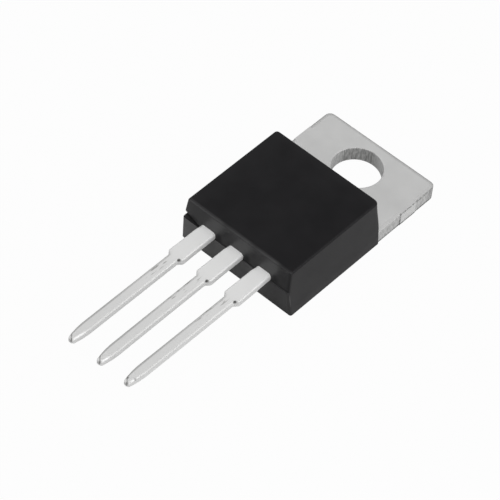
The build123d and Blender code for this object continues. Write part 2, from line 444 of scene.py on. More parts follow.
@dataclass(frozen=True)
class TinnedLeadFinish:
    """Matte tin with drawing lines along the lead, scuffs and near-black spots.

    Painted light lightens the cut sides and the root, painted shade darkens the left edge, and painted
    highlights run along the upper right edge and the tip.
    """

    face: Colour = (0.745, 0.745, 0.74)
    # Painted light: lighter tin by the root, standing in for the light that the body's shade takes away.
    painted_root_light: Colour = (0.84, 0.84, 0.835)
    scuff: Colour = (0.42, 0.42, 0.41)
    # Painted light: the cut sides are lighter than the top, standing in for the light on the sides.
    side: Colour = (0.84, 0.84, 0.835)
    shade: Colour = (0.20, 0.20, 0.195)
    # Painted highlight colour.
    gleam: Colour = (0.95, 0.95, 0.95)
    # Near-black: painted shade in the shoulder's nick, and dark spots at the tips.
    dark_spots: Colour = (0.03, 0.028, 0.026)
    roughness: Pair = (0.40, 0.50)
    metallic: float = 0.10
    specular: float = 0.5

    def material(self) -> Material:
        """Builds the nodes.

        Returns:
            The material.
        """
        graph = NodeGraph(bpy.data.materials.new("tinned_lead"))
        dark_spots = graph.mask("dark_spots")
        lines = graph.noise(0.06 * MM, 2.0, (1, 30, 1))
        scuffs = graph.noise(0.13 * MM, 1.0, (1, 6, 1))
        clouds = graph.noise(0.7 * MM, 2.0)
        # Painted light by the root.
        plated = graph.blend(graph.mask("painted_root_light"), self.face, self.painted_root_light)
        scuffed = graph.math("MULTIPLY", graph.span(scuffs, 0.58, 0.68), graph.mask("scuffs_and_highlight"))
        colour = graph.blend(scuffed, plated, self.scuff)
        # Painted light on the cut sides.
        colour = graph.blend(graph.mask("side"), colour, self.side)
        colour = graph.blend(graph.mask("shade"), colour, self.shade)
        colour = graph.blend(graph.mask("gleam"), colour, self.gleam)
        colour = graph.blend(dark_spots, colour, self.dark_spots)
        roughness = graph.span(clouds, 0.3, 0.7, *self.roughness)
        normal = graph.relief(lines, 0.0004 * MM)
        normal = graph.relief(clouds, 0.004 * MM, normal)
        return graph.finish(colour, roughness, normal, self.metallic, self.specular)


@dataclass(frozen=True)
class SealedFinish:
    """Finish of a piece sealed inside the epoxy: a grained two-tone surface."""

    name: str
    first: Colour
    second: Colour
    roughness: float
    metallic: float
    grain: float = 0.05 * MM

    def material(self) -> Material:
        """Builds the nodes.

        Returns:
            The material.
        """
        graph = NodeGraph(bpy.data.materials.new(self.name))
        grain = graph.noise(self.grain, 3.0)
        colour = graph.blend(graph.span(grain, 0.35, 0.65), self.first, self.second)
        normal = graph.relief(grain, 0.001 * MM)
        return graph.finish(colour, self.roughness, normal, self.metallic, 0.5)


# ---- the moulded body ----

@dataclass(frozen=True)
class BodyWear:
    """Greys and gloss of the epoxy's skin, along x, y, z, depth below the lid or way behind the front.

    Painted light and shade are among them.
    """

    front_zone: Fade = Fade(0.12, 0.02)
    side_grey: Fade = Fade(0.081, 0.18, 0.122)
    side_lift: float = 0.35
    foot_grey: Fade = Fade(0.75, 0.25, 0.06)
    underside_grey: float = 0.22
    front_grey: Fade = Fade(0.0, 0.054, 0.03)
    # Painted light: the front pales towards its left end.
    left_end: Fade = Fade(-3.9, -4.5)
    lower_grey: float = 0.16
    # Painted light and shade on the lower front: paler to the left, darker at its right end.
    lower_middle: Fade = Fade(3.6, 1.6, 0.36)
    lower_left: Fade = Fade(0.5, -2.0, 0.16)
    # Painted reflections of the leads: grey streaks over the front's top rounding, in line with each lead.
    painted_lead_reflection: Pair = (0.65 * MM, 0.42 * MM)
    reflection_start: Fade = Fade(0.0, 0.0144, 0.06)
    reflection_end: Fade = Fade(0.144, 0.063)
    lid_zone: Fade = Fade(0.054, 0.0)
    # Painted sheen on the lid: paler to the left and towards the back, darker to the right.
    sheen_middle: Fade = Fade(3.0, 1.0, 0.010)
    sheen_left: Fade = Fade(-3.5, -4.2, 0.020)
    sheen_far: Fade = Fade(-4.5, -3.7, 0.020)
    # Painted highlight: a paler line up the right front corner, from near the foot to below the ledge.
    scuffs_and_highlight: Pair = (0.11 * MM, 0.03 * MM)
    highlight_foot: Fade = Fade(0.6, 1.4)
    highlight_top: Fade = Fade(2.3, 2.0, 0.7)
    lower_dull: float = 0.7
    rounding_gloss: float = 0.74
    wall_gloss: Fade = Fade(0.054, 0.108, 0.26)
    gloss_start: Fade = Fade(0.0, 0.009)
    right_dull: Fade = Fade(3.35, 3.75, 0.55)
    corner_dull: Fade = Fade(4.4, 4.75, 0.4)
    # Painted shade through the gloss: none along the ledge, and less beside and between the leads and above
    # the gate.
    ledge_shadow: Fade = Fade(0.04, 0.20)
    lead_shadow: Spot = Spot((0.95, 0.0, 0.25), (0.42, 0.60, 0.75))
    gap: Pair = (1.35 * MM, 0.38 * MM)
    gap_shadow: Fade = Fade(3.0, 3.5, 0.4)
    gate_shadow: Spot = Spot((-3.95, 0.0, 0.42), (0.70, 0.60, 0.32), 0.85)


@dataclass
class MouldedBody:
    """Black epoxy body: two drafted mould halves that meet at a ledge, with a broken gate at one corner."""

    ledge_height: float = 2.43 * MM
    ledge_depth: float = 0.06 * MM
    ledge_round: float = 0.02 * MM
    ledge_slope: float = 0.012 * MM
    kink_height: float = 1.20 * MM
    side_draft: float = radians(4.65)
    back_draft: float = radians(2.4)
    lower_front_draft: float = radians(6.4)
    upper_front_draft: float = radians(4.65)
    corner_round: float = 0.20 * MM
    least_round: float = 0.03 * MM
    back_corner_extra: float = 0.28 * MM
    back_corner_tuck: float = 0.07 * MM
    back_left_share: float = 0.4
    back_swell: Fade = Fade(1.4, 4.0)
    top_round: float = 0.18 * MM
    front_top_run: float = 0.31 * MM
    front_top_bow: float = 1.6
    front_barrel: float = 0.05 * MM
    foot_round: float = 0.02 * MM
    foot_gap: float = 0.006 * MM
    foot_insets: tuple[float, ...] = (3.6 * MM, 2.0 * MM, 0.8 * MM, 0.12 * MM)
    lid_insets: tuple[float, ...] = (0.03 * MM, 0.6 * MM, 1.8 * MM, 3.4 * MM)
    support: float = 0.02 * MM
    gate_rise: float = 0.66 * MM
    gate_depth: float = 0.44 * MM
    gate_width: float = 2.05 * MM
    gate_ease: float = 0.35 * MM
    gate_bulge: Pair = (0.62, 0.85)
    gate_across: Fade = Fade(0.9, 0.5, unit=1.0)
    gate_behind: Fade = Fade(0.02, 0.10)
    lead_pitch: float = 2.54 * MM
    wear: BodyWear = BodyWear()
    finish: EpoxyFinish = EpoxyFinish()

    def _outline(self, z: Array, inset: Array, front_shift: Array) -> Array:
        """Outlines of the body at several heights.

        The half width is the one at the base less z tan(side draft), and front and back lean by their own
        drafts. Above the ledge the front also curves back with the square of the height, the back
        corners' rounds widen, and the front left corner is the broken gate: a notch that bulges inwards
        and shrinks in proportion to the height above the ledge.

        Args:
            z: Heights, shape (rings,).
            inset: How far each outline is drawn in on all sides, shape (rings,).
            front_shift: How far the front alone is drawn in, shape (rings,).

        Returns:
            The outlines, shape (rings, around, 2), anticlockwise from the front left corner.
        """
        half = HIGH.x - z * np.tan(self.side_draft) - inset
        lower_front = LOW.y + (self.ledge_height - z) * np.tan(self.lower_front_draft)
        upper = z > self.ledge_height
        rise = np.maximum(z - self.ledge_height, 0.0)
        upper_front = LOW.y + self.ledge_depth + rise * np.tan(self.upper_front_draft)
        upper_front += self.front_barrel * (rise / (HIGH.z - self.ledge_height)) ** 2
        front = np.where(upper, upper_front, lower_front) + inset + front_shift
        back = HIGH.y - np.maximum(z - self.kink_height, 0.0) * np.tan(self.back_draft) - inset
        radius = np.maximum(self.corner_round - inset, self.least_round)
        left_over = np.where(upper, 1.0 - (z - self.ledge_height) / self.gate_rise, 0.0)
        depth = np.maximum(radius, self.gate_depth * left_over)
        width = np.maximum(radius, self.gate_width * left_over)
        broken = np.clip((width - radius) / self.gate_ease, 0.0, 1.0)[:, None]
        notch = at(-half + self.gate_bulge[0] * width, front + self.gate_bulge[1] * depth)
        gate = at(-half, front) * (1 - broken) + notch * broken
        swell = self.back_swell(z)
        right = radius + self.back_corner_extra * swell - self.back_corner_tuck * (1 - swell)
        left = radius + self.back_left_share * self.back_corner_extra * swell
        return rounded_outline([
            (at(-half, front + depth), gate, at(-half + width, front), 21, 60),
            (at(half - radius, front), at(half, front), at(half, front + radius), 9, 40),
            (at(half, back - right), at(half, back), at(half - right, back), 13, 40),
            (at(-half + left, back), at(-half, back), at(-half, back - left), 13, 40),
        ], 0.012)

    def _rings(self) -> list[tuple[float, float, float]]:
        """Stack of rings, from the underside to the top.

        Returns:
            The height, inset and front shift of each ring.
        """
        height, ledge = HIGH.z, self.ledge_height
        turn = np.linspace(0.0, np.pi / 2, 13)
        foot = [(self.foot_gap, inset, 0.0) for inset in self.foot_insets]
        foot += [(self.foot_gap + self.foot_round * (1 - np.sin(a)), self.foot_round * (1 - np.cos(a)), 0.0)
                 for a in turn[::-1]]
        lower = [(z, 0.0, 0.0) for z in (
            self.foot_gap + self.foot_round + self.support, 0.4 * MM, 0.8 * MM,
            self.kink_height - self.support, self.kink_height, self.kink_height + self.support,
            1.6 * MM, 2.0 * MM, 2.3 * MM)]
        lower += [(ledge - self.ledge_round * (1 - np.sin(a)), 0.0, self.ledge_round * (1 - np.cos(a)))
                  for a in turn[::3]]
        slope, gate_top, rounding = self.ledge_slope, ledge + self.gate_rise, height - self.top_round
        upper = [(ledge + slope, 0.0, -slope), (ledge + 2 * slope, 0.0, -slope / 4)]
        plain = [*np.linspace(ledge + 4 * slope, gate_top, 16), *np.linspace(gate_top, rounding, 7)[1:-1],
                 rounding - self.support]
        upper += [(z, 0.0, 0.0) for z in plain]
        top = [(rounding + self.top_round * np.sin(a), self.top_round * (1 - np.cos(a)),
                self.front_top_run * (1 - np.cos(a)) ** self.front_top_bow
                - self.top_round * (1 - np.cos(a))) for a in turn]
        top += [(height, self.top_round + inset, self.front_top_run - self.top_round)
                for inset in self.lid_insets]
        return foot + lower + upper + top

    def _gate_mask(self, points: Array) -> Array:
        """Finds the broken gate: the notch behind the front wall, from the ledge to the gate's top.

        Args:
            points: The surface's points.

        Returns:
            The mask, 1 on the gate.
        """
        rise, behind = points[..., 2] - self.ledge_height, points[..., 1] - LOW.y - self.ledge_depth
        across = self.gate_across((points[..., 0] - LOW.x) / self.gate_width)
        wall = self.gate_behind(behind - rise * np.tan(self.upper_front_draft))
        beside = (rise > -0.1 * self.ledge_round) & (rise < self.gate_rise)
        return across * wall * (behind < 1.1 * self.gate_depth) * beside

    def _skin_masks(self, points: Array) -> tuple[Array, Array]:
        """Greys and gloss of the skin.

        The walls are grey, paler towards the foot, and the lower front is paler. Painted light pales the
        front towards its left end and the lower front to the left, and painted shade darkens the lower
        front's right end. A painted sheen pales the lid, a painted highlight runs up the right front
        corner, and painted reflections of the leads run over the front's top rounding. The front is
        polished, less below the ledge and at its right end; as painted shade, its gloss is taken away along
        the ledge, beside and between the leads and above the gate.

        Args:
            points: The surface's points, ring by ring.

        Returns:
            The greys, from 0 on black skin to 1 at the walls' grey, and the gloss, from 0 to 1.
        """
        wear, ledge = self.wear, self.ledge_height
        x, y, z = points[..., 0], points[..., 1], points[..., 2]
        depth, behind = HIGH.z - z, y - y.min(axis=1, keepdims=True)
        at_front = wear.front_zone(behind)
        side = wear.side_grey(depth) * (1 + wear.side_lift * (1 - z / HIGH.z)) + wear.foot_grey(z)
        # Painted light and shade: the lower front is paler to the left and darker at its right end.
        lower = wear.lower_grey + wear.lower_middle(x) + wear.lower_left(x)
        front = wear.front_grey(depth) * (1 + wear.left_end(x)) + (z < ledge) * lower
        gloss = at_front * (1 - wear.lower_dull * (z < ledge)) * wear.gloss_start(depth)
        gloss *= wear.rounding_gloss + wear.wall_gloss(depth)
        gloss *= 1 - wear.right_dull(x) - wear.corner_dull(x)
        # Painted shade: gloss taken away along the ledge and above the gate.
        gloss *= wear.ledge_shadow(np.abs(z - ledge))
        gloss *= 1 - wear.gate_shadow(points, (0.0, LOW.y, ledge))
        for lead in (-1, 0, 1):
            centre = lead * self.lead_pitch
            # Painted reflection of this lead on the front's top rounding.
            painted_lead_reflection = band(x - centre, *wear.painted_lead_reflection)
            front = front + painted_lead_reflection * wear.reflection_start(depth) * wear.reflection_end(depth)
            # Painted shade: gloss taken away beside and between the leads.
            gloss *= 1 - wear.lead_shadow(points, (centre, LOW.y, ledge))
            gloss *= 1 - wear.gap_shadow(z) * band(x - centre, *wear.gap)
        # Painted sheen on the lid.
        lid = wear.lid_zone(depth) * (wear.sheen_middle(x) + wear.sheen_left(x) + wear.sheen_far(y))
        # Painted highlight up the right front corner.
        scuffs_and_highlight = band(behind, *wear.scuffs_and_highlight) * (x > 0) * wear.highlight_foot(z) * wear.highlight_top(z)
        grey = np.maximum.reduce([side * (1 - at_front) + front * at_front, lid, scuffs_and_highlight])
        underside = slice(len(self.foot_insets))
        grey[underside], gloss[underside] = wear.underside_grey, 0.0
        return grey, gloss

    def build(self) -> Piece:
        """Stacks the outlines into a closed surface, and dresses it.

        Returns:
            The body.
        """
        z, inset, shift = np.array(self._rings()).T
        outline = self._outline(z, inset, shift)
        heights = np.broadcast_to(z[:, None, None], outline.shape[:2] + (1,))
        points = np.concatenate([outline, heights], -1)
        grey, gloss = self._skin_masks(points)
        # 'wall' carries the walls' grey and painted light; 'polish' carries the gloss, lowered in places as
        # painted shade.
        masks = {"broken": self._gate_mask(points), "wall": grey, "polish": gloss}
        piece = RingSurface(points, masks=masks).build("epoxy_body")
        piece.data.materials.append(self.finish.material())
        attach(piece, BODY)
        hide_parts("moulded_body")
        return piece


# ---- the heat sink ----

@dataclass(frozen=True)
class TabWear:
    """Tones of the tab's surface, along x, y or the sideways turn of the bore's wall.

    Painted light and shade are among them.
    """

    # Painted shade in the bore: darkest across the bore_axis, lighter towards its two ends along it.
    bore_axis: Pair = (0.82, 0.57)
    bore_near: Fade = Fade(-0.45, -1.0, 0.55, unit=1.0)
    bore_far: Fade = Fade(0.35, 0.95, 0.85, unit=1.0)
    # Painted light on the bore's right end.
    bore_painted_light: Fade = Fade(0.45, 0.95, unit=1.0)
    # Painted shade on the roll-over: less on the left, more at the far end, none on the stub.
    roll_shade_amount: float = 0.65
    roll_left: float = 0.6
    roll_end: Fade = Fade(2.3, 2.6, 0.15)
    stub_smooth: float = 0.95
    stub_lighter: float = 0.9
    # Painted shade along the cut side's top edge, weaker past the stub; then a dark far right corner and a
    # dark foot line.
    edge_dark: float = 0.9
    edge_fall: float = 0.4
    edge_start: Fade = Fade(0.7, 0.9, unit=1.0)
    corner_dark: Fades = (Fade(3.6, 4.5), Fade(1.7, 2.3, 0.45))
    foot_dark: float = 0.85
    foot_cut: float = 0.5
    # Painted light on the face by the body, against the body's shade.
    body_painted_light: Fade = Fade(-0.4, -3.2)
    underside_lighter: float = 0.60


@dataclass
class TabPlate:
    """Blanked metal tab with its hole, and the pad that runs on under the epoxy."""

    thickness: float = 1.20 * MM
    half_width: float = 4.94 * MM
    end_round: float = 0.55 * MM
    hole_radius: float = 1.86 * MM
    hole_roll: float = 0.08 * MM
    hole_taper: float = 0.035 * MM
    pad_half_width: float = 4.10 * MM
    pad_front: float = -9.45 * MM
    pad_round: float = 0.20 * MM
    neck_round: float = 0.05 * MM
    under_body: float = 0.08 * MM
    stub_proud: float = 0.03 * MM
    flush_proud: float = 0.002 * MM
    stub_low: float = -1.105 * MM
    stub_high: float = 0.545 * MM
    stub_edge: float = 0.015 * MM
    stub_seam: float = 0.01 * MM
    stub_roll: float = 0.15
    roll_width: float = 0.28 * MM
    roll_drop: float = 0.08 * MM
    foot_bevel: float = 0.025 * MM
    bore_lip: float = 0.01 * MM
    bore_heights: tuple[float, ...] = (0.02 * MM, 0.30 * MM, 0.55 * MM, 0.80 * MM, 1.10 * MM)
    side_heights: tuple[float, ...] = (0.85 * MM, 0.60 * MM, 0.35 * MM, 0.20 * MM)
    foot_heights: tuple[float, ...] = (0.14 * MM, 0.03 * MM)
    face_shares: tuple[float, ...] = (0.012, 0.1, 0.35, 0.65, 0.9, 0.985, 1.0)
    underside_shares: tuple[float, ...] = (0.97, 0.6, 0.2, 0.02)
    spacing: float = 0.12 * MM
    wear: TabWear = TabWear()
    finish: PlatedTabFinish = PlatedTabFinish()

    def _corners(self, inset: float) -> tuple[Array, Array]:
        """Corners of the plan, drawn in on the free edges, anticlockwise from the pad's front right.

        Args:
            inset: How far the tab's edges are drawn in; the sheared stubs take at most their small edge.

        Returns:
            The corners, shape (corners, 2), and the radii of their rounds.
        """
        back = HIGH.y - self.under_body
        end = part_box("heat_sink")[1].y - inset
        side, pad = self.half_width - inset, self.pad_half_width
        small = 0.2 * self.stub_edge
        halves = []
        for proud in (self.stub_proud, self.flush_proud):
            stub = self.half_width + proud - min(inset, self.stub_edge)
            halves.append([(pad, self.pad_front, self.pad_round), (pad, back, self.neck_round),
                           (side, back, small), (side, self.stub_low, small),
                           (stub, self.stub_low, small), (stub, self.stub_high, small),
                           (side, self.stub_high, small), (side, end, self.end_round - inset)])
        right, left = halves
        corners = np.array(right + [(-x, y, radius) for x, y, radius in reversed(left)])
        return corners[:, :2], corners[:, 2:]

    def _outline(self, inset: float = 0.0) -> Array:
        """Plan of the tab, drawn in by the inset.

        Each corner's parabola starts and ends one radius from it. Every outline has the same number of
        points, and points with the same index lie opposite each other.

        Args:
            inset: How far the free edges are drawn in.

        Returns:
            The points, shape (around, 2).
        """
        lengths = np.linalg.norm(np.roll(self._corners(0.0)[0], -1, 0) - self._corners(0.0)[0], axis=1)
        spots, radii = self._corners(inset)
        ahead = np.roll(spots, -1, 0) - spots
        ahead /= np.linalg.norm(ahead, axis=1, keepdims=True)
        starts, ends = spots - np.roll(ahead, 1, 0) * radii, spots + ahead * radii
        bends = bend(starts, spots, ends, 9)
        parts = []
        for index, (end, following) in enumerate(zip(ends, np.roll(starts, -1, 0))):
            parts += [bends[index], run(end, following, max(4, int(lengths[index] / self.spacing)), 0.02)]
        return np.concatenate(parts)

    def _side_masks(self, plan: Array) -> tuple[Array, Array, Array]:
        """Smooth masks of the sheared stubs and of the side beside them.

        Args:
            plan: Points of the plan.

        Returns:
            The stubs, their near edge, and the side from there to the end, each shape (around,).
        """
        y, seam = plan[:, 1], self.stub_seam
        on_side = (np.abs(plan[:, 0]) > self.half_width - self.flush_proud / 2) | (y > self.stub_high)
        past_low = smooth_step(y, self.stub_low - seam, self.stub_low + seam)
        past_high = smooth_step(y, self.stub_high - seam, self.stub_high + seam)
        near_edge = band(y, self.stub_low, 4 * seam)
        return on_side * past_low * (1 - past_high), on_side * near_edge, on_side * past_low

    def _lighter_mask(self, points: Array, turn: Array, flat: Array) -> Array:
        """Lighter colour: painted light by the body and on the bore's right end, and a lighter stub and
        underside.

        Args:
            points: The surface's points.
            turn: How far each place round the hole faces along the bore's axis, from -1 to 1.
            flat: 1 on the sheared stub of the right side.

        Returns:
            The mask.
        """
        wear = self.wear
        in_bore = np.hypot(points[..., 0], points[..., 1]) < self.hole_radius + 0.6 * self.hole_roll
        sheltered = in_bore * wear.bore_painted_light(turn)
        sheltered = sheltered + wear.stub_lighter * flat * (points[..., 2] < self.thickness)
        lighter_and_painted_light = np.maximum(wear.body_painted_light(points[..., 1]), sheltered)
        lighter_and_painted_light[-len(self.underside_shares):] = wear.underside_lighter
        return lighter_and_painted_light

    def build(self) -> Piece:
        """Carries one closed section round the plan, and dresses the plate.

        The section climbs the hole's wall, rolls over its rim, crosses the top face, rolls down over the
        blanked edge in a parabola, goes down the side and returns along the underside.

        Returns:
            The tab plate.
        """
        wear, tall, radius, roll = self.wear, self.thickness, self.hole_radius, self.hole_roll
        plan = self._outline()
        x, y = plan.T
        ray = plan / np.linalg.norm(plan, axis=1, keepdims=True)
        stub, stub_edge, cut_side = self._side_masks(plan)
        flat = stub * (x > 0)
        turn = ray @ wear.bore_axis
        # Painted shade in the bore.
        bore = 1 - wear.bore_near(turn) - wear.bore_far(turn)
        # Painted shade on the roll-over at the edges.
        roll_shade_level = wear.roll_shade_amount * (1 - stub) * np.where(x > 0, 1.0, wear.roll_left) + wear.roll_end(y)
        cut = 1 - wear.stub_smooth * stub
        beyond = smooth_step(y, self.stub_high - 0.1 * MM, self.stub_high + 0.1 * MM)
        # Painted shade along the cut side's top edge and the stub's near edge.
        edge_dark = np.maximum((wear.edge_dark - wear.edge_fall * beyond) * cut_side, stub_edge)
        corner = wear.corner_dark[0](x) * wear.corner_dark[1](y)
        side_dark = np.maximum(wear.edge_dark * stub_edge, corner)
        rings: list[Array] = []
        tones: list[Array] = []

        def add(place: Array, z: Array | float, **tone: Array | float) -> None:
            """Adds one ring at the given place and height, with its masks."""
            rings.append(np.column_stack([place, np.broadcast_to(z, len(plan))]))
            tones.append(np.stack([np.broadcast_to(tone.get(name, 0.0), len(plan)) for name in names]))

        names = ("cut", "bore", "crevice", "rolled")
        for z in self.bore_heights:
            add(ray * (radius - self.hole_taper * (1 - z / tall)), z, bore=bore)
        for angle in np.linspace(0.0, np.pi / 2, 8):
            add(ray * (radius + roll * (1 - np.cos(angle))), tall - roll * (1 - np.sin(angle)),
                bore=bore * (1 - np.sin(angle)) ** 0.4)
        inner, outer = ray * (radius + roll), self._outline(self.roll_width)
        for share in self.face_shares:
            add(inner * (1 - share) + outer * share, tall)
        drop = self.roll_drop * (1 - (1 - self.stub_roll) * flat)
        for share in np.linspace(0.0, 1.0, 9)[1:]:
            add(self._outline(self.roll_width * (1 - share)), tall - drop * share ** 2,
                rolled=share ** 0.5 * roll_shade_level, crevice=edge_dark * wear.edge_start(share))
        for below, dirt in ((0.01 * MM, edge_dark), (0.08 * MM, edge_dark), (0.12 * MM, side_dark)):
            add(plan, tall - drop - below, cut=cut, crevice=dirt)
        for z in self.side_heights:
            add(plan, z, cut=cut, crevice=side_dark)
        for z in self.foot_heights:
            add(plan, z, cut=cut, crevice=np.minimum(wear.foot_dark + corner, 1.0))
        last = self._outline(self.foot_bevel)
        add(last, 0.0, cut=wear.foot_cut)
        for share in self.underside_shares:
            add(ray * (radius - self.bore_lip) * (1 - share) + last * share, 0.0)
        points = np.stack(rings)
        masks = dict(zip(names, np.stack(tones, 1)))
        masks["lighter_and_painted_light"] = self._lighter_mask(points, turn, flat)
        piece = RingSurface(points, loops_back=True, masks=masks).build("tab_plate")
        piece.data.materials.append(self.finish.material())
        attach(piece, BODY)
        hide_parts("heat_sink")
        return piece


# ---- the leads ----

class LeadRole(Enum):
    """The three leads, by what they connect to."""

    LEFT_ANODE = "left_anode_lead"
    CATHODE = "cathode_lead"
    RIGHT_ANODE = "right_anode_lead"


@dataclass(frozen=True)
class LeadWear:
    """Marks and tones of a lead, along the lead, up from its underside or as a share of its half width.

    Painted light, shade and highlights are among them.
    """

    nick: Spot = Spot((0.50, -3.33, 0.0), (0.18, 0.21, 0.28))
    nick_depth: float = 0.05 * MM
    # Painted shade darkens the nick's dent; a dark spot marks the tip's end.
    nick_shade: float = 0.95
    end_spot: Spot = Spot((0.05, -13.10, -0.23), (0.13, 0.15, 0.20), 0.9)
    # Painted highlight on the left of the tip's end.
    end_highlight: Spot = Spot((-0.20, -13.10, -0.15), (0.17, 0.20, 0.36))
    # Painted light on the cut sides.
    side: Fades = (Fade(0.44, 0.375), Fade(0.8, 0.97, unit=1.0))
    shade: Fades = (Fade(0.275, 0.375), Fade(-0.45, -0.66, unit=1.0))
    shade_along: Fades = (Fade(3.0, 3.6, 0.32), Fade(6.0, 11.0, 0.16))
    ridge: Pair = (-0.40 * MM, 0.055 * MM)
    ridge_turn: float = 0.45 * MM
    ridge_run: Pair = (12.2 * MM, 0.9 * MM)
    ridge_start: Fade = Fade(12.25, 12.5, 0.85)
    # Painted light, fading out along the lead from the root.
    root_light_fade: Fades = (Fade(2.4, 4.4, 0.6), Fade(5.0, 9.0, 0.4))
    scuffs_and_highlight: Fades = (Fade(3.0, 3.8), Fade(5.5, 8.0, 0.9))
    worn_across: Fade = Fade(0.5, 0.0, unit=1.0)
    # Painted highlight along the upper right edge near the tip.
    gleam: Fades = (Fade(0.35, 0.425), Fade(0.50, 0.80, unit=1.0))
    # Painted highlight on the top by the root, against the body's shade.
    bright_root: Fade = Fade(1.2, 0.2, 0.6)


@dataclass
class SolderLead:
    """Flat stamped lead: wide at the body, shoulders, a narrow part to solder, and a tapered tip."""

    role: LeadRole
    node: str
    centre: float
    drift: float
    gleam_along: Fades
    finish: Material
    marks: tuple[Spot, ...] = ()
    trim: Fade = Fade(2.0, 0.2, 0.0)
    root: float = 0.80 * MM
    length: float = 13.18 * MM
    underside: float = 2.43 * MM
    thickness: float = 0.50 * MM
    upper_round: float = 0.12 * MM
    lower_round: float = 0.025 * MM
    end_round: float = 0.15 * MM
    tip_run: float = 1.1 * MM
    end_run: float = 0.20 * MM
    root_soft: Fade = Fade(0.55, 0.0, 0.16 * MM)
    wear: LeadWear = LeadWear()

    def _stations(self) -> Array:
        """Places of the sections, close together at shoulder and tip.

        Returns:
            Distances from the body's front along the lead.
        """
        parts = [np.linspace(-self.root, -0.02 * MM, 5), np.linspace(0.0, 2.0 * MM, 12)[1:],
                 np.linspace(2.0 * MM, 2.95 * MM, 14)[1:], np.linspace(2.95 * MM, 3.5 * MM, 40)[1:],
                 np.linspace(3.5 * MM, 11.6 * MM, 50)[1:],
                 np.linspace(11.6 * MM, self.length - self.end_round, 36)[1:-1],
                 self.length - self.end_round * (1 - np.sin(np.linspace(0, np.pi / 2, 14)[1:-1]))]
        return np.concatenate(parts)

    def _half_width(self, along: Array) -> Array:
        """Half the lead's width: straight runs between the places, and a round end.

        Args:
            along: Distances from the body's front.

        Returns:
            The half widths there.
        """
        places = np.array([-1.0, 0.0, 2.1, 2.7, 3.06, 3.12, 3.39, 3.45, 11.7, 12.2, 12.7, 13.0, 13.18]) * MM
        widths = np.array([0.65, 0.65, 0.655, 0.67, 0.67, 0.645, 0.42, 0.40, 0.40, 0.365, 0.30, 0.245,
                           0.235]) * MM
        end = np.clip((along - (self.length - self.end_round)) / self.end_round, 0.0, 0.999)
        return np.interp(along, places, widths) * (0.25 + 0.75 * np.sqrt(1 - end ** 2))

    def _sections(self, along: Array, half: Array) -> Array:
        """Rounded rectangles across the lead.

        Towards the tip the top comes down and the underside up, and the upper edges get rounder, as they
        are at the root.

        Args:
            along: Distances from the body's front, shape (stations,).
            half: Half widths there.

        Returns:
            Points (x, z) of shape (stations, around, 2), anticlockwise seen from the tip.
        """
        tip = smooth_step(along, self.length - self.tip_run, self.length)
        end = smooth_step(along, self.length - self.end_run, self.length)
        low = self.underside + 0.02 * MM * tip + 0.05 * MM * end
        high = self.underside + self.thickness - 0.03 * MM * tip - 0.10 * MM * end
        r = np.minimum(self.upper_round + self.root_soft(along) + 0.06 * MM * tip, 0.9 * half)
        b = self.lower_round
        return rounded_outline([
            (at(half - b, low), at(half, low), at(half, low + b), 5, 12),
            (at(half, high - r), at(half, high), at(half - r, high), 11, 14),
            (at(-half + r, high), at(-half, high), at(-half, high - r), 11, 12),
            (at(-half, low + b), at(-half, low), at(-half + b, low), 5, 10),
        ], 0.03)

    def _tones(self, along: Array, height: Array, offset: Array,
               sideways: Array) -> dict[str, Array]:
        """Masks that follow the lead.

        The ridge is the left edge of the top face, which swings inwards over the tip with the power 2.2
        of the way along the taper.

        Args:
            along: Distances from the body's front.
            height: Heights above the underside.
            offset: Distances from the centre line, to the right.
            sideways: The same as shares of the half width.

        Returns:
            The masks by name.
        """
        wear = self.wear
        on_top = height > 0.5 * self.thickness
        way = np.clip((along - wear.ridge_run[0]) / wear.ridge_run[1], 0.0, 1.1)
        ridge = band(offset - wear.ridge_turn * way ** 2.2, *wear.ridge) * wear.ridge_start(along)
        shade = wear.shade[0](height) * wear.shade[1](sideways)
        shade *= wear.shade_along[0](along) + wear.shade_along[1](along)
        scuffs_and_highlight = wear.scuffs_and_highlight[0](along) * (1 - wear.scuffs_and_highlight[1](along)) * wear.worn_across(sideways)
        # Painted highlight along the upper right edge near the tip.
        gleam = wear.gleam[0](height) * wear.gleam[1](sideways)
        gleam *= self.gleam_along[0](along) * self.gleam_along[1](along)
        # Painted highlight on the root's top.
        bright_root = wear.bright_root(along) * (height > 0.7 * self.thickness)
        return {"side": wear.side[0](height) * wear.side[1](np.abs(sideways)),
                "shade": np.maximum(shade, ridge * on_top),
                "gleam": np.maximum(gleam, bright_root),
                "painted_root_light": 1 - wear.root_light_fade[0](along) - wear.root_light_fade[1](along), "scuffs_and_highlight": scuffs_and_highlight}

    def build(self) -> Piece:
        """Stacks sections along the lead into a closed surface, and dresses it.

        The centre line drifts sideways by drift (s / length)^2 at distance s.

        Returns:
            The lead.
        """
        wear, front = self.wear, LOW.y
        top = self.underside + self.thickness
        along = self._stations()
        half = self._half_width(along)
        section = self._sections(along, half)
        section[..., 0] -= self.trim(along)[:, None] * smooth_step(section[..., 0], 0.0, 0.6 * MM)
        centre = self.centre + self.drift * (np.maximum(along, 0.0) / self.length) ** 2
        reach = np.broadcast_to(along[:, None], section.shape[:2])
        points = np.stack([section[..., 0] + centre[:, None], front - reach, section[..., 1]], -1)
        nick = wear.nick(points, (self.centre, front, top))
        points[..., 0] -= wear.nick_depth * nick
        end = (self.centre + self.drift, front, top)
        # Painted shade in the nick, and dark spots at the tip.
        dark_spots = [wear.nick_shade * nick, *(mark(points, end) for mark in (wear.end_spot, *self.marks))]
        offset = points[..., 0] - centre[:, None]
        masks = self._tones(reach, points[..., 2] - self.underside, offset, offset / half[:, None])
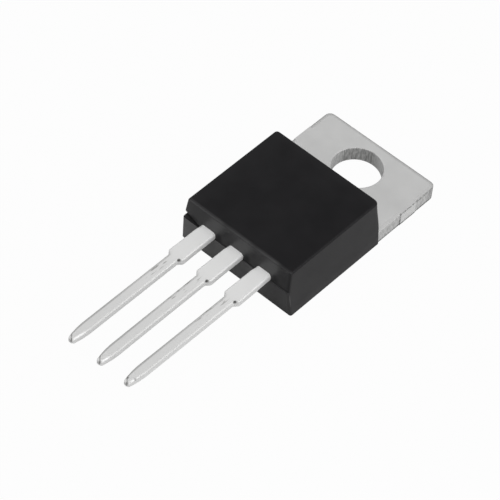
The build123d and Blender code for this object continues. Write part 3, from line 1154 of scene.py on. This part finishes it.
        # Painted highlight on the tip's end.
        masks["gleam"] = np.maximum(masks["gleam"], wear.end_highlight(points, end))
        masks["dark_spots"] = np.maximum.reduce(dark_spots)
        piece = RingSurface(points, masks=masks).build(self.role.value)
        piece.data.materials.append(self.finish)
        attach(piece, BODY)
        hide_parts(self.node)
        return piece


@dataclass
class LeadRow:
    """The row of three leads."""

    pitch: float = 2.54 * MM
    # Dark spots on the right lead's tip.
    spot_radii: Triple = (0.11, 0.12, 0.30)
    spot_places: tuple[Triple, ...] = ((-0.13, -12.83, 0.0), (0.27, -12.58, 0.0))
    finish: TinnedLeadFinish = TinnedLeadFinish()

    def build(self) -> list[Piece]:
        """Builds the three leads, each bent a hair differently.

        Returns:
            The leads, from left to right.
        """
        material = self.finish.material()
        tip_gleam = Fade(13.10, 12.95)
        right_lead_spots = tuple(Spot(centre, self.spot_radii, 0.54) for centre in self.spot_places)
        left = SolderLead(LeadRole.LEFT_ANODE, "left_anode_lead", -self.pitch, 0.01 * MM,
                          (Fade(11.9, 12.4), tip_gleam), material)
        middle = SolderLead(LeadRole.CATHODE, "heat_sink", 0.0, 0.05 * MM,
                            (Fade(12.4, 12.6), tip_gleam), material)
        right = SolderLead(LeadRole.RIGHT_ANODE, "right_anode_lead", self.pitch, -0.05 * MM,
                           (Fade(12.45, 12.6), Fade(12.95, 12.80)), material, right_lead_spots,
                           Fade(2.0, 0.2, 0.04 * MM))
        return [lead.build() for lead in (left, middle, right)]


# ---- the sealed pieces ----

@dataclass
class SealedPieces:
    """Chips, solder layers and bond wires, which keep their CAD shapes."""

    silicon: SealedFinish = SealedFinish("silicon", (0.05, 0.05, 0.06), (0.08, 0.08, 0.09), 0.25, 0.0)
    solder: SealedFinish = SealedFinish("solder", (0.45, 0.45, 0.45), (0.58, 0.58, 0.57), 0.5, 1.0)
    wire: SealedFinish = SealedFinish("aluminium_wire", (0.78, 0.78, 0.79), (0.86, 0.86, 0.87), 0.3, 1.0)

    def dress(self) -> list[Piece]:
        """Gives each sealed CAD node its material.

        Returns:
            The dressed nodes.
        """
        kinds = {"chip": self.silicon, "chip_solder": self.solder, "bond_wire": self.wire}
        dressed = []
        for kind, finish in kinds.items():
            material = finish.material()
            for side in ("left", "right"):
                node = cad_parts[f"{side}_{kind}"]
                node.data.materials.clear()
                node.data.materials.append(material)
                dressed.append(node)
        return dressed


# ---- the studio ----

@dataclass(frozen=True)
class Softbox:
    """Square area lamp aimed at the object."""

    name: str
    place: Triple
    size: float
    power: float

    def build(self) -> None:
        """Makes the lamp."""
        data = bpy.data.lights.new(self.name, "AREA")
        data.size = self.size
        data.energy = self.power
        lamp = bpy.data.objects.new(self.name, data)
        lamp.location = self.place
        lamp.rotation_euler = Vector(self.place).to_track_quat("Z", "Y").to_euler()
        bpy.context.scene.collection.objects.link(lamp)


@dataclass
class Studio:
    """Pale floor, soft light and the camera."""

    floor_size: float = 1.2
    floor_drop: float = 0.004 * MM
    floor_tone: float = 0.45
    floor_lift: float = 0.97
    mirror_lift: float = 0.06
    sky_low: float = 0.30
    sky_high: float = 0.42
    lens: float = 196.533
    camera_place: Triple = (0.073866, -0.105440, 0.142650)
    camera_right: Triple = (0.738765, 0.671156, 0.061453)
    camera_down: Triple = (0.542949, -0.538654, -0.644250)
    lamps: tuple[Softbox, ...] = (
        Softbox("softbox_top", (0.06, -0.14, 0.68), 0.60, 1.25),
        Softbox("softbox_left", (-0.30, -0.50, 0.40), 0.50, 0.70),
        Softbox("softbox_right", (0.60, 0.02, 0.35), 0.80, 3.00),
    )

    def _floor(self) -> Piece:
        """Floor that keeps the shadow but shows almost white to the camera; in reflections it shows mostly
        its own grey.

        Returns:
            The floor.
        """
        half, z = self.floor_size / 2, -self.floor_drop
        mesh = bpy.data.meshes.new("floor")
        mesh.from_pydata([(-half, -half, z), (half, -half, z), (half, half, z), (-half, half, z)], [],
                         [(0, 1, 2, 3)])
        floor = bpy.data.objects.new("floor", mesh)
        bpy.context.scene.collection.objects.link(floor)
        graph = NodeGraph(bpy.data.materials.new("pale_floor"))
        matte = graph.add("BsdfDiffuse", {"Color": (self.floor_tone,) * 3})
        glow = graph.add("Emission", {})
        ray = graph.add("LightPath", {}).outputs
        mirrored = graph.math("MAXIMUM", ray["Is Glossy Ray"], ray["Is Transmission Ray"])
        seen = graph.math("MULTIPLY", ray["Is Camera Ray"], self.floor_lift)
        lift = graph.math("MAXIMUM", seen, graph.math("MULTIPLY", mirrored, self.mirror_lift))
        mix = graph.add("MixShader", {0: lift, 1: matte.outputs[0], 2: glow.outputs[0]})
        graph.add("OutputMaterial", {"Surface": mix.outputs[0]})
        mesh.materials.append(graph.owner)
        return floor

    def _world(self) -> None:
        """Soft surroundings, brighter overhead than at the horizon."""
        world = bpy.data.worlds.new("surroundings")
        graph = NodeGraph(world, "Generated")
        up = graph.add("SeparateXYZ", {0: graph.place}).outputs["Z"]
        strength = graph.span(up, 0.0, 1.0, self.sky_low, self.sky_high)
        glow = graph.add("Background", {"Color": (1.0, 1.0, 1.0), "Strength": strength})
        graph.add("OutputWorld", {"Surface": glow.outputs[0]})
        bpy.context.scene.world = world

    def _camera(self) -> None:
        """Camera at a given place, with the view's right and down directions as its axes."""
        data = bpy.data.cameras.new("camera")
        data.lens = self.lens
        data.sensor_width = 36.0
        data.clip_start = 0.005
        camera = bpy.data.objects.new("camera", data)
        right, down = Vector(self.camera_right), Vector(self.camera_down)
        axes = Matrix((right, -down, right.cross(-down))).transposed()
        camera.matrix_world = Matrix.Translation(self.camera_place) @ axes.to_4x4()
        bpy.context.scene.collection.objects.link(camera)
        bpy.context.scene.camera = camera

    def build(self) -> None:
        """Sets up the whole studio."""
        self._floor()
        self._world()
        self._camera()
        for lamp in self.lamps:
            lamp.build()
        bpy.context.scene.view_settings.view_transform = "Standard"


def main() -> None:
    """Builds the studio and every piece, in order."""
    logging.basicConfig(level=logging.INFO, format="%(name)s: %(message)s")
    Studio().build()
    pieces = [MouldedBody().build(), TabPlate().build(), *LeadRow().build(), *SealedPieces().dress()]
    for piece in pieces:
        LOG.info("%s: %d faces", piece.name, len(piece.data.polygons))


if __name__ == "__main__":
    main()
